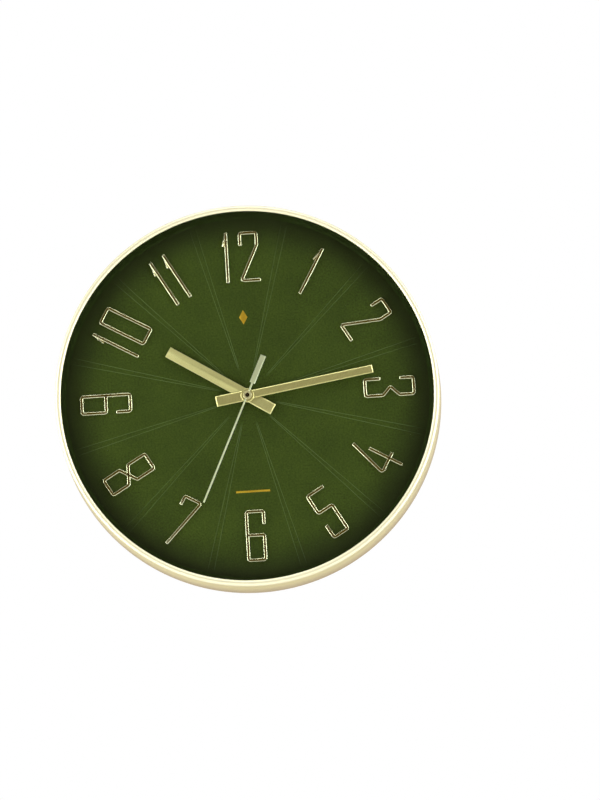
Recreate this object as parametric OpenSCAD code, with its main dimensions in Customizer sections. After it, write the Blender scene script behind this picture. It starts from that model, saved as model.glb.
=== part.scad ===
// Round wall clock with a shallow drum case, raised numerals and a quartz movement.
// The origin is the centre of the back rim, on the wall. +Z points to twelve o'clock
// and the dial faces -Y. Plans are drawn flat, seen from the front, and stood up.

/* [Case] */
// Diameter over the back rim
case_d = 300; // [280:1:400]
// Depth from the wall to the front edge
case_h = 40; // [38:0.5:60]
// How much smaller the front radius is than the back radius
case_taper = 2.5; // [0:0.1:5]
// Wall of the drum
case_wall = 2; // [1.4:0.1:2.6]
// Width of the front lip, seen from the front
lip_w = 4.2; // [3.6:0.1:8]
// Thickness of the front lip
lip_t = 1.6; // [1.2:0.1:3]
// Radius of the outer front edge
edge_round = 1.8; // [0.6:0.1:2.4]
// Number of nibs that hold the carrier in the drum
nib_count = 8; // [4:1:12]

/* [Glass and dial] */
// Thickness of the glass
glass_t = 2; // [1.5:0.1:3]
// Room for the hands between the glass and the dial
hand_room = 10.4; // [10:0.1:16]
// Thickness of the dial
dial_t = 1.5; // [1:0.1:3]
// Thickness of the carrier disc behind the dial
carrier_t = 2; // [1.5:0.1:4]
// How far the foot of the spacer ring reaches inside its head
ring_flare = 2.8; // [0:0.1:6]
// Width of each pressed line
line_w = 0.6; // [0.3:0.1:1]
// Depth of each pressed line
line_depth = 0.3; // [0.1:0.05:0.6]
// Half the angle between the two lines of a pair
line_spread = 1; // [0.7:0.1:2]

/* [Numerals] */
// Height of a digit on the centre of its stroke
digit_h = 37.6; // [28:0.1:42]
// Width of a digit on the centre of its stroke
digit_w = 13.1; // [9:0.1:15]
// Width of a stroke
stroke_w = 2.6; // [1.6:0.1:3]
// How far a numeral stands off the dial
stroke_t = 2; // [1:0.1:2.4]
// Gap from the lip's opening to the top of a digit
numeral_margin = 15; // [8:0.1:20]

/* [Hands] */
// Hour hand, clockwise from twelve
hour_angle = 302.4; // [0:0.1:360]
// Minute hand, clockwise from twelve
minute_angle = 81.5; // [0:0.1:360]
// Second hand, clockwise from twelve
second_angle = 205.1; // [0:0.1:360]
// Length of the hour hand from the axis
hour_len = 70.5; // [50:0.5:85]
// Tail of the hour hand
hour_tail = 22.5; // [10:0.5:35]
// Width of the hour hand
hour_w = 8.6; // [6.5:0.1:10]
// Length of the minute hand from the axis
minute_len = 98.5; // [80:0.5:115]
// Tail of the minute hand
minute_tail = 24.5; // [10:0.5:40]
// Width of the minute hand's blade
minute_w = 6.1; // [4.5:0.1:8]
// Width of the minute hand's tail
minute_tail_w = 8.1; // [5:0.1:10]
// Length of the second hand from the axis
second_len = 89.5; // [70:0.5:120]
// Width of the second hand's needle
second_w = 1.3; // [0.8:0.1:2]
// Distance from the axis to the far end of the counterweight
second_tail = 33; // [20:0.5:45]
// Length of the counterweight
weight_len = 23; // [10:0.5:26]
// Width of the counterweight
weight_w = 4.2; // [3:0.1:6]

/* [Movement] */
// Width and height of the movement's housing
movement_w = 56; // [55:0.5:64]
// Depth of the movement's housing
movement_h = 16; // [15.6:0.1:17.5]
// Side walls of the housing
side_wall = 1.2; // [0.8:0.1:1.6]
// Radius of the threaded post through the dial
post_r = 3.6; // [3.3:0.1:4.4]
// Radius of the hour tube
hour_tube_r = 2.5; // [2.4:0.05:2.7]
// Radius of the minute tube
minute_tube_r = 1.75; // [1.5:0.05:1.8]
// Radius of the second hand's arbor
arbor_r = 0.5; // [0.4:0.05:0.7]
// Radius of the time-setting knob
knob_r = 7; // [5:0.1:8]

/* [Gear train] */
// Thickness of a gear's disc
gear_t = 0.9; // [0.7:0.05:1]
// Axis distance from the centre to the third wheel
third_a = 11; // [10.6:0.1:11.6]
// Axis distance from the centre to the intermediate wheel
inter_a = 10.5; // [10:0.1:11]
// Axis distance from the intermediate wheel to the rotor
rotor_a = 9.5; // [9.2:0.1:10]
// Axis distance from the centre to the reduction wheel
reduction_a = 9; // [8.8:0.1:9.6]

/* [Battery] */
// Diameter of the battery
battery_d = 14; // [13.6:0.1:14.4]
// Length of the battery without its nub
battery_len = 49.2; // [48:0.1:49.4]

/* [Hanger] */
// Height of the keyhole's round entry above the centre
keyhole_z = 112; // [70:1:116]
// Radius of the keyhole's round entry
keyhole_r = 4.5; // [3.5:0.1:6]
// Width of the keyhole's slot
slot_w = 4.4; // [3:0.1:5]
// Length of the slot above the entry's centre
slot_len = 11; // [8:0.5:14]
// Thickness of the hanger plate
hanger_t = 2; // [1:0.1:2.5]
// Gap from the wall to the hanger plate
hanger_gap = 2.2; // [2:0.1:4]

/* [Hidden] */
$fn = 64;
running_fit = 0.05;
press_fit = 0.02;
seat_gap = 0.3;

// Stations along the depth, counted forward from the wall
z_lip = case_h - lip_t;
z_glass = z_lip - glass_t;
z_dial = z_glass - hand_room;
z_board = z_dial - dial_t;
z_carrier = z_board - carrier_t;
rubber_t = 0.8;
z_move = z_carrier - rubber_t;
base_wall = 1.5;
z_room = z_move - base_wall;
z_back = z_move - movement_h;
cover_t = 1.3;
z_floor = z_back + cover_t;

// Radii of the drum and of what sits in it
back_r = case_d / 2;
front_r = back_r - case_taper;
opening_r = front_r - lip_w;
function drum_r(z) = back_r - case_taper * z / case_h;
function bore_r(z) = drum_r(z) - case_wall;
glass_r = bore_r(case_h) - seat_gap;
ring_show = 0.4;
ring_head_r = opening_r - ring_show;
carrier_r = bore_r(z_board) - seat_gap;
nib_reach = 1.2;
numeral_r = opening_r - numeral_margin - digit_h / 2;

// Hands, counted forward from the dial
washer_t = 0.4;
nut_t = 2;
nut_r = post_r + 1.3;
thread_proud = 0.4;
post_top = z_dial + washer_t + nut_t + thread_proud;
z_hour_hand = post_top + 0.5;
hand_gap = 0.7;
hour_t = 1.3;
z_minute_hand = z_hour_hand + hour_t + hand_gap;
minute_t = 0.9;
z_second_hand = z_minute_hand + minute_t + hand_gap;
second_t = 0.9;
hub_r = 5.3;
second_hub_r = 3.3;
needle_t = 0.4;

// Levels of the wheels, counted back from the housing's front wall
level_gap = 0.5;
wall_gap = 0.3;
z_hour_wheel = z_room - wall_gap - gear_t;
z_reduction = z_hour_wheel - level_gap - gear_t;
z_centre = z_reduction - level_gap - gear_t;
stator_t = 1;
stator_room = 1.4;
plate_t = 1.2;
z_plate_top = z_centre - stator_t - stator_room;
z_plate = z_plate_top - plate_t;
plate_gap = 0.6;
z_third = z_plate - plate_gap - gear_t;
z_second = z_third - level_gap - gear_t;
z_inter = z_second - level_gap - gear_t;
pinion_over = 0.2;
pivot_depth = 0.7;
end_play = 0.1;
z_pivot_low = z_floor - pivot_depth + end_play;
z_pivot_high = z_room + pivot_depth - end_play;
pivot_r = 0.4;
stud_r = 0.8;
knob_arbor_r = 1.2;

// Tooth counts: 60 x 60 / (10 x 12) = 30, 60 x 64 / (8 x 8) = 60, 36 x 40 / (12 x 10) = 12
rotor_teeth = 12;
inter_teeth = 60;
inter_leaves = 10;
second_teeth = 60;
second_leaves = 8;
third_teeth = 60;
third_leaves = 8;
centre_teeth = 64;
cannon_leaves = 12;
reduction_teeth = 36;
reduction_leaves = 10;
hour_teeth = 40;
knob_leaves = 12;
pressure = 25;
wheel_head = 0.7;
wheel_foot = 1.25;
pinion_head = 1;
pinion_foot = 0.95;
tooth_play = 0.04;

// Directions between the axes in the plan, and the axes themselves
inter_dir = 20;
rotor_dir = 60;
reduction_dir = 120;
knob_dir = 135;
function along(dir, dist) = [dist * cos(dir), dist * sin(dir)];
inter_at = along(inter_dir, inter_a);
rotor_at = inter_at + along(rotor_dir, rotor_a);
reduction_at = along(reduction_dir, reduction_a);
knob_a = reduction_a * (reduction_teeth + knob_leaves) / (reduction_teeth + cannon_leaves);
knob_at = reduction_at + along(knob_dir, knob_a);

// The third wheel lies far enough round from the knob's arbor to clear it
function tip_r(a, teeth, mate) = 2 * a / (teeth + mate) * (teeth / 2 + wheel_head);
knob_dist = norm(knob_at);
knob_clear = tip_r(third_a, third_teeth, second_leaves) + knob_arbor_r + 1;
third_dir = max(170, atan2(knob_at[1], knob_at[0])
    + acos((third_a ^ 2 + knob_dist ^ 2 - knob_clear ^ 2) / (2 * third_a * knob_dist)));
third_at = along(third_dir, third_a);

// Turn of a gear whose gap faces the tooth of the gear that it meets
function meshed(dir, turn, teeth, own) = dir + 180 - 180 / own + (dir - turn) * teeth / own;
third_turn = meshed(third_dir, 0, second_leaves, third_teeth);
centre_turn = meshed(third_dir + 180, 0, third_leaves, centre_teeth);
inter_turn = meshed(inter_dir, 0, second_teeth, inter_leaves);
rotor_turn = meshed(rotor_dir, 0, inter_teeth, rotor_teeth);
reduction_turn = meshed(reduction_dir, 0, cannon_leaves, reduction_teeth);
hour_turn = meshed(reduction_dir + 180, 0, reduction_leaves, hour_teeth);
knob_turn = meshed(knob_dir, reduction_turn, reduction_teeth, knob_leaves);

// Movement's housing, which holds the centre wheel above the battery bay
divider_t = 0.9;
housing_w = max(movement_w, 2 * (tip_r(third_a, centre_teeth, third_leaves) + divider_t
    + battery_d + 3 * seat_gap + side_wall));
housing_corner = 2;
inner_w = housing_w / 2 - side_wall;
battery_y = -(inner_w - seat_gap - battery_d / 2);
battery_z = z_room - 0.2 - battery_d / 2;
battery_x = -battery_len / 2 - 0.3;
nub_len = 1.3;
nub_r = 2.7;
bay_top = battery_y + battery_d / 2 + seat_gap;
contact_t = 0.4;
contact_w = 10;
pillar_r = 1.5;
pillar_x = inner_w - 2.3;
plate_low = bay_top + divider_t + seat_gap;
plate_high = 16;
pillar_inset = 2;
pillar_ys = [plate_low + pillar_inset, plate_high - pillar_inset];
magnet_r = 3;
coil_r = 4;
coil_at = [6, 22];
coil_len = 18;
core_w = 3;
core_t = 1;
bobbin_r = 2.2;
flange_t = 0.8;
board_w = 9.5;
board_h = 12;
board_t = 0.8;
board_at = [12, plate_low + 0.6];

// Hanger's plate and its two screws
hanger_y = keyhole_z + 3;
post_x = 17;
screw_r = 1.4;
screw_fit = 0.05;
foil_t = 0.3;

// Stands a plan up: x stays, y becomes height and z becomes the distance from the wall
module stood() {
    rotate([90, 0, 0]) children();
}

module rod(r, z0, z1, at = [0, 0]) {
    translate([at[0], at[1], z0]) cylinder(h = z1 - z0, r = r);
}

function arc(c, r, a0, a1, n) =
    [for (i = [0:n]) let (a = a0 + (a1 - a0) * i / n) c + [r * cos(a), r * sin(a)]];

function rounded_box(w, h, r) = concat(
    arc([w / 2 - r, h / 2 - r], r, 0, 90, 4), arc([r - w / 2, h / 2 - r], r, 90, 180, 4),
    arc([r - w / 2, r - h / 2], r, 180, 270, 4), arc([w / 2 - r, r - h / 2], r, 270, 360, 4));

// ---- Case, glass and dial ----

module case_shell() {
    round_z = case_h - edge_round;
    inner_round = 0.5;
    wall_profile = concat(
        [[bore_r(0), 0], [back_r, 0]],
        arc([drum_r(round_z) - edge_round, round_z], edge_round, 0, 90, 6),
        arc([opening_r + inner_round, case_h - inner_round], inner_round, 90, 180, 3),
        [[opening_r, z_lip], [bore_r(z_lip), z_lip]]);
    nib_arc = 5;
    nib_h = 2;
    nib_top = z_carrier - 0.1;
    nib_profile = [
        [bore_r(nib_top) + 0.5, nib_top - 2 * nib_h], [bore_r(nib_top) + 0.5, nib_top],
        [carrier_r - nib_reach, nib_top], [carrier_r - nib_reach, nib_top - nib_h / 2]];
    color("khaki") stood() {
        rotate_extrude($fn = 180) polygon(wall_profile);
        for (i = [0:nib_count - 1])
            rotate(360 / nib_count * (i + 0.5) - nib_arc / 2)
                rotate_extrude(angle = nib_arc, $fn = 180) polygon(nib_profile);
    }
}

module glass_lens() {
    color("lightcyan", 0.4) stood() rod(glass_r, z_glass, z_lip, $fn = 180);
}

module spacer_ring() {
    color("darkslategray") stood() rotate_extrude($fn = 180) polygon([
        [glass_r, z_dial], [glass_r, z_glass], [ring_head_r, z_glass],
        [ring_head_r - ring_flare, z_dial]]);
}

module dial() {
    line_margin = 1;
    line_start = line_w / (2 * sin(line_spread)) + 2 * line_margin;
    line_end = ring_head_r - ring_flare - line_margin;
    color("darkolivegreen") stood() difference() {
        rod(glass_r, z_board, z_dial, $fn = 180);
        rod(post_r + seat_gap, z_board - 1, z_dial + 1);
        for (i = [0:11], side = [-1, 1])
            rotate(15 + 30 * i + side * line_spread)
                translate([line_start, -line_w / 2, z_dial - line_depth])
                    cube([line_end - line_start, line_w, line_depth + 1]);
    }
}

module dial_emblem() {
    half_w = 3.2;
    half_h = 5.6;
    emblem_y = 62;
    color("gold") stood() translate([0, emblem_y, z_dial]) linear_extrude(foil_t)
        polygon([[half_w, 0], [0, half_h], [-half_w, 0], [0, -half_h]]);
}

module dial_bar() {
    bar_w = 26;
    bar_h = 1.4;
    bar_y = -74;
    color("gold") stood() translate([-bar_w / 2, bar_y - bar_h / 2, z_dial])
        cube([bar_w, bar_h, foil_t]);
}

// A disc with a ring of ribs round the movement, one near the rim and twelve spokes
module dial_carrier() {
    rib_t = 1.6;
    rib_h = 3;
    root = 0.5;
    inner_rib_r = housing_w / sqrt(2) + 3;
    outer_rib_r = keyhole_z + 14;
    color("dimgray") stood() difference() {
        union() {
            rod(carrier_r, z_carrier, z_board, $fn = 180);
            for (r = [inner_rib_r, outer_rib_r])
                rotate_extrude($fn = 180) translate([r, z_carrier - rib_h])
                    square([rib_t, rib_h + root]);
            for (i = [0:11])
                rotate(15 + 30 * i)
                    translate([inner_rib_r + rib_t / 2, -rib_t / 2, z_carrier - rib_h])
                        cube([outer_rib_r - inner_rib_r, rib_t, rib_h + root]);
        }
        rod(post_r + seat_gap, z_carrier - 1, z_board + 1);
    }
}

// ---- Numerals ----

// Strokes of each digit as half widths and half heights from its centre
DIGITS = [
    [[[0.2, 1], [-1, 1], [-1, -1], [1, -1], [1, 1], [0.4, 1]], [[0.5, 1], [0.1, 1]]],
    [],
    [[[-0.95, 0.53], [-0.95, 1], [1.03, 1], [1.03, 0.47], [-0.98, -1], [1.12, -1]]],
    [[[-1.05, 0.5], [-1.05, 1], [0.95, 1], [0.95, 0.4], [-0.08, 0.04], [0.95, -0.28],
      [0.95, -1], [-1.05, -1], [-1.05, -0.42]]],
    [[[0.4, 1.02], [-1.05, -0.52], [1.35, -0.52]], [[0.8, 0.34], [0.8, -1.05]]],
    [[[1.35, 1], [-0.73, 1], [-0.73, 0.17], [1.18, 0.17], [1.18, -1], [-0.73, -1],
      [-0.73, -0.47]]],
    [[[1.06, 0.57], [1.06, 1.05], [-0.94, 1.05], [-0.94, -0.94], [1.04, -0.94],
      [1.04, 0.08], [-0.2, 0.08]], [[0, 0.08], [-0.94, 0.08]]],
    [[[-1.22, 0.66], [-1.22, 1], [0.85, 1], [-0.6, -1.02]]],
    [[[-0.4, 0.07], [-0.93, 0.18], [-0.93, 1], [1.12, 1], [1.12, 0.18], [-0.93, -0.24],
      [-0.93, -1], [1.14, -1], [1.14, -0.24], [0.6, -0.13]],
     [[-0.67, 0.127], [0.87, -0.186]]],
    [[[0, 0], [-0.97, 0], [-0.97, 1], [1.06, 1], [1.08, -1], [-0.94, -1],
      [-0.94, -0.47]], [[-0.2, 0], [1.07, 0]]]
];

function unit(v) = v / norm(v);
function left_of(v) = [-v[1], v[0]];

// One side of a stroke, with mitred corners
function stroke_side(p, half) = [for (i = [0:len(p) - 1])
    let (before = left_of(unit(i > 0 ? p[i] - p[i - 1] : p[1] - p[0])),
         after = left_of(unit(i < len(p) - 1 ? p[i + 1] - p[i] : p[i] - p[i - 1])))
    p[i] + half * (before + after) / (1 + before * after)];

module stroke(points) {
    sized = [for (p = points) [p[0] * digit_w / 2, p[1] * digit_h / 2]];
    near = stroke_side(sized, stroke_w / 2);
    far = stroke_side(sized, -stroke_w / 2);
    polygon(concat(near, [for (i = [len(far) - 1:-1:0]) far[i]]));
}

// A one is a stem with a flag that ends in a square notch on the left
module one() {
    half = stroke_w / 2;
    tip = (digit_h + stroke_w) / 2;
    notch = digit_h / 4;
    polygon([[half, tip], [-half / 2, tip], [-1.9 * half, notch], [-half, notch],
        [-half, -tip], [half, -tip]]);
}

module digit(d) {
    for (line = DIGITS[d]) stroke(line);
    if (d == 1) one();
}

// A numeral of one or two digits; those of the lower half read from the centre
module numeral(hour) {
    tens = floor(hour / 10);
    ones = hour % 10;
    ones_x = hour < 10 ? 0 : hour == 11 ? 5.8 : 6.8;
    tens_x = hour == 11 ? -5.8 : -10.2;
    upside = hour > 3 && hour < 9 ? 180 : 0;
    color("burlywood") stood() translate([0, 0, z_dial]) linear_extrude(stroke_t)
        rotate(-30 * hour) translate([0, numeral_r]) rotate(upside) {
            translate([ones_x, 0]) digit(ones);
            if (tens > 0) translate([tens_x, 0]) digit(tens);
        }
}

// ---- Hands ----

// A bar along +y from y0 to y1 whose cross-section is a list of points
module blade(section, y0, y1) {
    translate([0, y1, 0]) rotate([90, 0, 0]) linear_extrude(y1 - y0) polygon(section);
}

function roof(w, edge, top) = [[-w / 2, 0], [w / 2, 0], [w / 2, edge], [0, top],
    [-w / 2, edge]];

function bevelled(w, t, b) = [[-w / 2, 0], [w / 2, 0], [w / 2, t - b], [w / 2 - b, t],
    [b - w / 2, t], [-w / 2, t - b]];

module hour_hand() {
    edge_t = 0.5;
    tail_t = 0.9;
    tail_bevel = 0.35;
    color("darkkhaki") stood() rotate(-hour_angle) translate([0, 0, z_hour_hand])
        difference() {
            union() {
                blade(roof(hour_w, edge_t, hour_t), 0, hour_len);
                blade(bevelled(hour_w, tail_t, tail_bevel), -hour_tail, 0);
                rod(hub_r, 0, tail_t);
            }
            rod(hour_tube_r + press_fit, -1, hour_t + 1);
        }
}

module minute_hand() {
    blade_t = 0.7;
    bevel = 0.3;
    color("darkkhaki") stood() rotate(-minute_angle) translate([0, 0, z_minute_hand])
        difference() {
            union() {
                blade(bevelled(minute_w, blade_t, bevel), 0, minute_len);
                blade(bevelled(minute_tail_w, blade_t, bevel), -minute_tail, 0);
                rod(hub_r, 0, minute_t);
            }
            rod(minute_tube_r + press_fit, -1, minute_t + 1);
        }
}

module second_hand() {
    cup_r = 1.7;
    color("beige") stood() rotate(-second_angle) translate([0, 0, z_second_hand])
        difference() {
            union() {
                translate([-second_w / 2, -second_tail, 0])
                    cube([second_w, second_tail + second_len, needle_t]);
                translate([-weight_w / 2, -second_tail, 0])
                    cube([weight_w, weight_len, needle_t + 0.1]);
                rod(second_hub_r, 0, second_t);
            }
            rod(arbor_r + press_fit, -1, second_t + 1);
            rod(cup_r, needle_t, second_t + 1);
        }
}

// ---- Fixing to the dial ----

module brass_washer() {
    color("goldenrod") stood() difference() {
        rod(nut_r, z_dial, z_dial + washer_t);
        rod(post_r + running_fit, z_dial - 1, z_dial + washer_t + 1);
    }
}

module fixing_nut() {
    nut_z = z_dial + washer_t;
    color("goldenrod") stood() difference() {
        rod(nut_r, nut_z, nut_z + nut_t, $fn = 6);
        rod(post_r + running_fit, nut_z - 1, nut_z + nut_t + 1);
    }
}

module rubber_washer() {
    washer_r = 9;
    color("black") stood() difference() {
        rod(washer_r, z_move, z_carrier);
        rod(post_r + running_fit, z_move - 1, z_carrier + 1);
    }
}

// ---- Movement housing ----

// A blind bearing hole that runs from z0 forward, or back when the depth is negative
module pivot_hole(at, r, z0, depth) {
    rod(r + running_fit, min(z0, z0 + depth), max(z0, z0 + depth), at);
}

module movement_base() {
    color("darkslategray") stood() difference() {
        union() {
            difference() {
                translate([0, 0, z_floor]) linear_extrude(z_move - z_floor)
                    polygon(rounded_box(housing_w, housing_w, housing_corner));
                translate([0, 0, z_floor - 1]) linear_extrude(z_room - z_floor + 1)
                    polygon(rounded_box(2 * inner_w, 2 * inner_w,
                        housing_corner - side_wall / 2));
            }
            rod(post_r, z_room, post_top);
            translate([-inner_w - 0.1, bay_top, z_floor])
                cube([2 * inner_w + 0.2, divider_t, z_room - z_floor + 0.1]);
            for (x = [-pillar_x, pillar_x], y = pillar_ys)
                rod(pillar_r, z_plate_top, z_room + 0.1, [x, y]);
            rod(stud_r, z_reduction - 0.1, z_room + 0.1, reduction_at);
        }
        rod(hour_tube_r + running_fit, z_room - 1, post_top + 1);
        for (at = [third_at, rotor_at]) pivot_hole(at, pivot_r, z_room, pivot_depth);
        pivot_hole(knob_at, pivot_r, z_room, pivot_depth);
    }
}

module movement_cover() {
    rim_t = 0.8;
    rim_h = 1.5;
    rim_w = 2 * (inner_w - 0.1);
    slot_x = inner_w - 0.6;
    slot_low = -inner_w + 0.2;
    color("darkslategray") stood() difference() {
        union() {
            translate([0, 0, z_back]) linear_extrude(cover_t)
                polygon(rounded_box(housing_w, housing_w, housing_corner));
            translate([0, 0, z_floor]) linear_extrude(rim_h) difference() {
                polygon(rounded_box(rim_w, rim_w, housing_corner));
                polygon(rounded_box(rim_w - 2 * rim_t, rim_w - 2 * rim_t, housing_corner));
            }
        }
        // the battery bay is open to the back, and its contacts and the divider pass the rim
        translate([-slot_x, slot_low, z_back - 1])
            cube([2 * slot_x, bay_top - slot_low, cover_t + rim_h + 2]);
        translate([-inner_w - 1, -inner_w - 1, z_floor])
            cube([2 * inner_w + 2, bay_top + divider_t + inner_w + 1.2, rim_h + 1]);
        for (at = [third_at, inter_at, rotor_at])
            pivot_hole(at, pivot_r, z_floor, -pivot_depth);
        pivot_hole([0, 0], arbor_r, z_floor, -pivot_depth);
        rod(knob_arbor_r + running_fit, z_back - 1, z_floor + 1, knob_at);
    }
}

module train_plate() {
    color("silver") stood() difference() {
        translate([-inner_w + 0.4, plate_low, z_plate])
            cube([2 * inner_w - 0.8, plate_high - plate_low, plate_t]);
        rod(arbor_r + running_fit, z_plate - 1, z_plate_top + 1);
        rod(knob_arbor_r + running_fit, z_plate - 1, z_plate_top + 1, knob_at);
        rod(pivot_r + running_fit, z_plate - 1, z_plate_top + 1, inter_at);
        for (at = [third_at, rotor_at]) rod(pivot_r + 0.5, z_plate - 1, z_plate_top + 1, at);
    }
}

// ---- Wheels ----

function involute(t) = tan(t) * 180 / PI - t;

// Half the angle of a tooth at radius r
function half_tooth(r, m, teeth) =
    let (base = m * teeth / 2 * cos(pressure),
         play = tooth_play / (m * teeth) * 180 / PI,
         spread = r > base ? involute(acos(base / r)) : 0)
    90 / teeth + involute(pressure) - play - spread;

function tooth_radii(m, teeth, head, foot) =
    let (root = m * (teeth / 2 - foot), tip = m * (teeth / 2 + head),
         start = max(root, m * teeth / 2 * cos(pressure)))
    concat(root < start ? [root] : [], [start, (start + tip) / 2, tip]);

module gear(a, teeth, mate, head, foot, t) {
    m = 2 * a / (teeth + mate);
    radii = tooth_radii(m, teeth, head, foot);
    n = len(radii);
    linear_extrude(t) polygon([for (k = [0:teeth - 1], j = [0:2 * n - 1])
        let (r = radii[j < n ? j : 2 * n - 1 - j],
             side = j < n ? -1 : 1,
             turn = 360 / teeth * k + side * half_tooth(r, m, teeth))
        [r * cos(turn), r * sin(turn)]]);
}

module wheel(a, teeth, mate, z, turn = 0) {
    translate([0, 0, z]) rotate(turn) gear(a, teeth, mate, wheel_head, wheel_foot, gear_t);
}

module pinion(a, leaves, mate, z0, z1, turn = 0) {
    translate([0, 0, z0]) rotate(turn)
        gear(a, leaves, mate, pinion_head, pinion_foot, z1 - z0);
}

module second_wheel() {
    color("ivory") stood() {
        wheel(inter_a, second_teeth, inter_leaves, z_second);
        pinion(third_a, second_leaves, third_teeth, z_second, z_third + gear_t + pinion_over);
        rod(arbor_r, z_pivot_low, z_second_hand + needle_t);
    }
}

module third_wheel() {
    color("ivory") stood() translate(third_at) {
        wheel(third_a, third_teeth, second_leaves, z_third, third_turn);
        pinion(third_a, third_leaves, centre_teeth, z_centre - pinion_over,
            z_centre + gear_t + pinion_over);
        rod(pivot_r, z_pivot_low, z_pivot_high);
    }
}

module centre_wheel() {
    color("ivory") stood() difference() {
        wheel(third_a, centre_teeth, third_leaves, z_centre, centre_turn);
        rod(minute_tube_r + press_fit, z_centre - 1, z_centre + gear_t + 1);
    }
}

module cannon_pinion() {
    flange_r = 2.6;
    top_z = z_minute_hand + minute_t;
    color("goldenrod") stood() difference() {
        union() {
            pinion(reduction_a, cannon_leaves, reduction_teeth, z_centre + gear_t,
                z_reduction + gear_t + pinion_over);
            rod(minute_tube_r, z_centre - level_gap, top_z);
            rod(flange_r, z_centre - level_gap, z_centre);
        }
        rod(arbor_r + running_fit, z_centre - 2, top_z + 1);
    }
}

module reduction_wheel() {
    color("ivory") stood() translate(reduction_at) difference() {
        union() {
            wheel(reduction_a, reduction_teeth, cannon_leaves, z_reduction, reduction_turn);
            pinion(reduction_a, reduction_leaves, hour_teeth, z_reduction,
                z_hour_wheel + gear_t + 0.1);
        }
        rod(stud_r + running_fit, z_reduction - 1, z_room);
    }
}

module hour_wheel() {
    color("ivory") stood() difference() {
        union() {
            wheel(reduction_a, hour_teeth, reduction_leaves, z_hour_wheel, hour_turn);
            rod(hour_tube_r, z_hour_wheel, z_hour_hand + hour_t + 0.2);
        }
        rod(minute_tube_r + running_fit, z_hour_wheel - 1, z_hour_hand + hour_t + 2);
    }
}

module intermediate_wheel() {
    color("ivory") stood() translate(inter_at) {
        wheel(rotor_a, inter_teeth, rotor_teeth, z_inter);
        pinion(inter_a, inter_leaves, second_teeth, z_inter, z_second + gear_t + pinion_over,
            inter_turn);
        rod(pivot_r, z_pivot_low, z_plate_top - end_play);
    }
}

module rotor_pinion() {
    color("white") stood() translate(rotor_at) {
        pinion(rotor_a, rotor_teeth, inter_teeth, z_inter - pinion_over,
            z_inter + gear_t + pinion_over, rotor_turn);
        rod(pivot_r, z_pivot_low, z_pivot_high);
    }
}

module rotor_magnet() {
    magnet_z = z_plate_top + pinion_over;
    magnet_t = 1.2;
    color("slategray") stood() translate(rotor_at) difference() {
        rod(magnet_r, magnet_z, magnet_z + magnet_t);
        rod(pivot_r + press_fit, magnet_z - 1, magnet_z + 3);
    }
}

// ---- Motor, circuit and battery ----

module stator() {
    leg_w = 3;
    left_x = coil_at[0] - coil_len / 2 - 1 - leg_w;
    right_x = coil_at[0] + coil_len / 2 + 1;
    leg_top = coil_at[1] + core_w / 2;
    yoke_w = 6;
    yoke_low = rotor_at[1] - yoke_w / 2;
    pole_w = 2.6;
    air_gap = 0.4;
    color("lightgray") stood() translate([0, 0, z_plate_top]) difference() {
        union() {
            translate([left_x, yoke_low, 0])
                cube([right_x + leg_w - left_x, yoke_w, stator_t]);
            for (x = [left_x, right_x])
                translate([x, yoke_low, 0]) cube([leg_w, leg_top - yoke_low, stator_t]);
            rod(magnet_r + pole_w, 0, stator_t, rotor_at);
        }
        rod(magnet_r + air_gap, -1, stator_t + 1, rotor_at);
        rod(knob_arbor_r + air_gap, -1, stator_t + 1, knob_at);
    }
}

module coil_core() {
    core_len = coil_len + 8;
    color("lightgray") stood()
        translate([coil_at[0] - core_len / 2, coil_at[1] - core_w / 2, z_plate_top + stator_t])
            cube([core_len, core_w, core_t]);
}

// A cylinder along x whose middle is on the coil's axis
module coil_rod(r, x0, x1) {
    translate([coil_at[0] + x0, coil_at[1], z_plate_top + stator_t + core_t / 2])
        rotate([0, 90, 0]) cylinder(h = x1 - x0, r = r);
}

module coil_bobbin() {
    half = coil_len / 2;
    flange_r = coil_r + 0.3;
    slack = 0.1;
    color("white") stood() difference() {
        union() {
            coil_rod(bobbin_r, -half, half);
            coil_rod(flange_r, -half, flange_t - half);
            coil_rod(flange_r, half - flange_t, half);
        }
        translate([coil_at[0] - half - 1, coil_at[1] - core_w / 2 - slack,
            z_plate_top + stator_t - slack])
                cube([coil_len + 2, core_w + 2 * slack, core_t + 2 * slack]);
    }
}

module coil_winding() {
    half = coil_len / 2 - flange_t - 0.1;
    color("sienna") stood() difference() {
        coil_rod(coil_r, -half, half);
        coil_rod(bobbin_r + running_fit, -half - 1, half + 1);
    }
}

module circuit_board() {
    color("darkgreen") stood() translate([board_at[0], board_at[1], z_plate_top])
        cube([board_w, board_h, board_t]);
}

module quartz_crystal() {
    can_r = 1;
    can_len = 8;
    can_x = board_at[0] + board_w - 1.6;
    color("silver") stood()
        translate([can_x, board_at[1] + 2, z_plate_top + board_t + can_r])
            rotate([-90, 0, 0]) cylinder(h = can_len, r = can_r);
}

module battery() {
    color("dimgray") stood() translate([battery_x, battery_y, battery_z]) rotate([0, 90, 0]) {
        cylinder(h = battery_len, r = battery_d / 2);
        cylinder(h = battery_len + nub_len, r = nub_r);
    }
}

module contact_positive() {
    tip_x = battery_x + battery_len + nub_len;
    dimple_w = 3;
    color("silver") stood() translate([0, battery_y - contact_w / 2, battery_z - contact_w / 2]) {
        translate([inner_w - contact_t - 0.1, 0, 0]) cube([contact_t, contact_w, contact_w]);
        translate([tip_x, (contact_w - dimple_w) / 2, (contact_w - dimple_w) / 2])
            cube([inner_w - contact_t - tip_x, dimple_w, dimple_w]);
    }
}

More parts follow.
